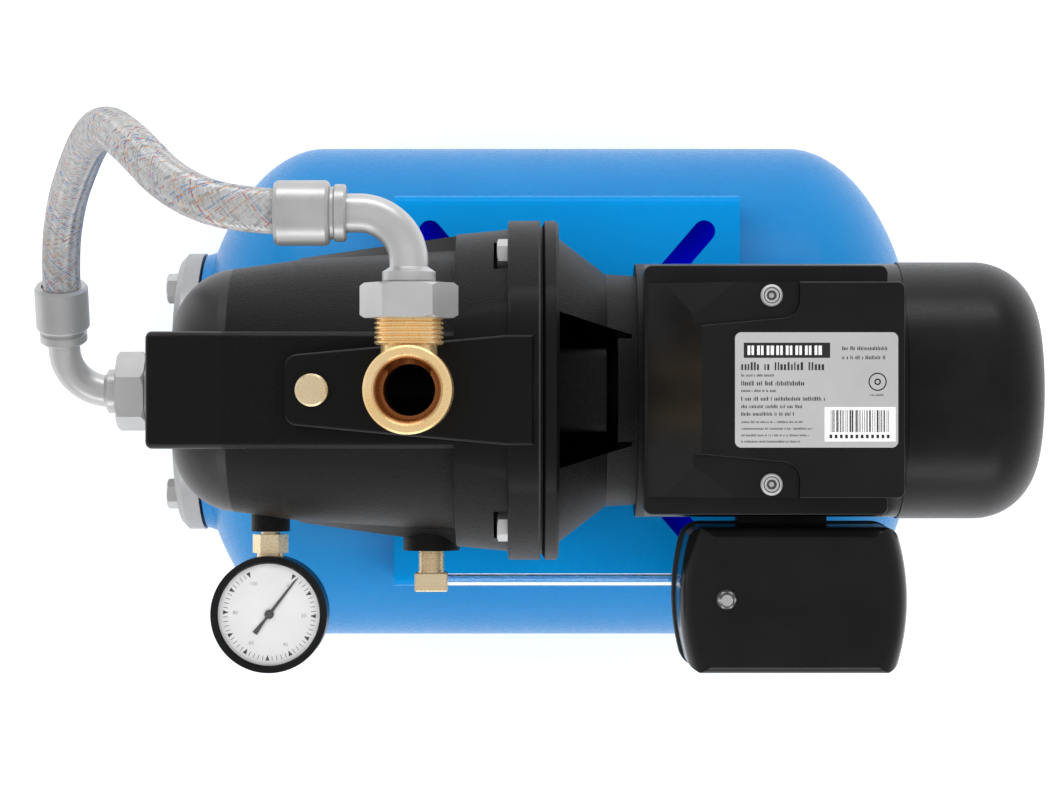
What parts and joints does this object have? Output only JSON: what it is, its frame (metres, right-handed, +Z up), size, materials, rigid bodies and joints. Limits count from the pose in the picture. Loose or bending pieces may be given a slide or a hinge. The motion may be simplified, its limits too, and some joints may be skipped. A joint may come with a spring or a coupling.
{
  "type": "shallow well jet pump",
  "caption": "Jet pump with a black cast casing and motor on a blue horizontal pressure tank, with braided hose, gauge and pressure switch.",
  "frame": {"origin": "centre of the tank feet's four bolt holes, on the floor", "axes": "+Z up, -X out of the suction port, +X towards the motor fan, +Y across the tank towards the hose side"},
  "size_m": [0.5464, 0.2929, 0.548],
  "materials": {
    "tank_blue": "gloss",
    "cast_black": "painted, cast texture",
    "motor_black": "satin",
    "gloss_black": "gloss",
    "matte_black": "satin",
    "zinc_steel": "satin zinc",
    "bright_steel": "bright",
    "electrical_steel": "laminated",
    "brass": "turned",
    "copper_winding": "enamelled copper",
    "hose_braid": "braided wire",
    "black_rubber": "matte",
    "seal_ceramic": "polished",
    "label_silver": "satin foil",
    "dial_white": "matte",
    "pointer_black": "matte",
    "gauge_glass": "clear",
    "clear_tube": "clear"
  },
  "bodies": {
    "pump_frame": {"tank_shell": "tank_blue", "tank_bladder": "black_rubber", "tank_flange": "zinc_steel", "tank_air_valve": "brass", "tank_feet": "tank_blue", "pump_platform": "tank_blue", "mounting_bolts": "zinc_steel", "pump_casing": "cast_black", "drain_plug": "brass", "suction_socket": "cast_black", "venturi_tube": "matte_black", "jet_nozzle": "brass", "diffuser": "matte_black", "casing_gasket": "black_rubber", "flange_bolts": "zinc_steel", "motor_bracket": "cast_black", "seal_seat": "seal_ceramic", "motor_shell": "motor_black", "stator_core": "electrical_steel", "stator_winding": "copper_winding", "rear_end_shield": "motor_black", "bearing_outer_rings": "bright_steel", "fan_cover": "motor_black", "cover_screws": "bright_steel", "motor_foot": "motor_black", "terminal_box_base": "gloss_black", "terminal_box_cover": "gloss_black", "rating_label": "label_silver", "capacitor": "matte_black", "terminal_block": "matte_black", "brass_tee": "brass", "hose_nuts": "zinc_steel", "upper_hose_elbow": "zinc_steel", "lower_hose_elbow": "zinc_steel", "hose_ferrules": "zinc_steel", "braided_hose": "hose_braid", "gauge_case": "motor_black", "gauge_stem": "brass", "gauge_dial": "dial_white", "gauge_lens": "gauge_glass", "gauge_bourdon_tube": "brass", "sense_elbow": "brass", "sense_tube": "clear_tube", "switch_base": "matte_black", "switch_cover": "gloss_black", "switch_nuts": "bright_steel", "switch_contact_block": "matte_black", "switch_range_spring": "bright_steel"},
    "rotor": {"rotor_shaft": "bright_steel", "rotor_core": "electrical_steel", "impeller": "matte_black", "seal_head": "black_rubber", "cooling_fan": "matte_black", "bearing_inner_rings": "bright_steel"},
    "ball_cages": {"bearing_balls": "bright_steel"},
    "pointer": {"gauge_pointer": "pointer_black"},
    "sector": {"gauge_sector": "brass"},
    "plug": {"priming_plug": "brass"},
    "lever": {"switch_lever": "bright_steel"},
    "valve_cap": {"air_valve_cap": "matte_black"}
  },
  "joints": [
    {"name": "rotor_spin", "type": "hinge", "parent": "pump_frame", "child": "rotor", "pos_m": [0, 0, 0.404], "axis": [1, 0, 0], "continuous": true},
    {"name": "ball_cage_spin", "type": "hinge", "parent": "pump_frame", "child": "ball_cages", "pos_m": [0, 0, 0.404], "axis": [1, 0, 0], "continuous": true},
    {"name": "gauge_pointer_turn", "type": "hinge", "parent": "pump_frame", "child": "pointer", "pos_m": [-0.15, -0.1153, 0.4], "axis": [0, 0, -1], "range_deg": [-5, 295]},
    {"name": "gauge_sector_turn", "type": "hinge", "parent": "pump_frame", "child": "sector", "pos_m": [-0.16776, -0.12176, 0.395], "axis": [0, 0, -1], "range_deg": [-49.3, 0.95]},
    {"name": "priming_plug_lift", "type": "slide", "parent": "pump_frame", "child": "plug", "axis": [0, 0, 1], "range_m": [0, 0.04]},
    {"name": "switch_lever_tilt", "type": "hinge", "parent": "pump_frame", "child": "lever", "pos_m": [0.149, -0.1042, 0.422], "axis": [0, 1, 0], "range_deg": [0, 3], "stiffness_Nm_per_rad": 0.5, "deforming": ["switch_range_spring"]},
    {"name": "air_valve_cap_pull", "type": "slide", "parent": "pump_frame", "child": "valve_cap", "axis": [1, 0, 0], "range_m": [0, 0.03]}
  ],
  "couplings": [
    {"joint": "ball_cage_spin", "follows": "rotor_spin", "ratio": 0.388},
    {"joint": "gauge_sector_turn", "follows": "gauge_pointer_turn", "ratio": -0.16667}
  ]
}
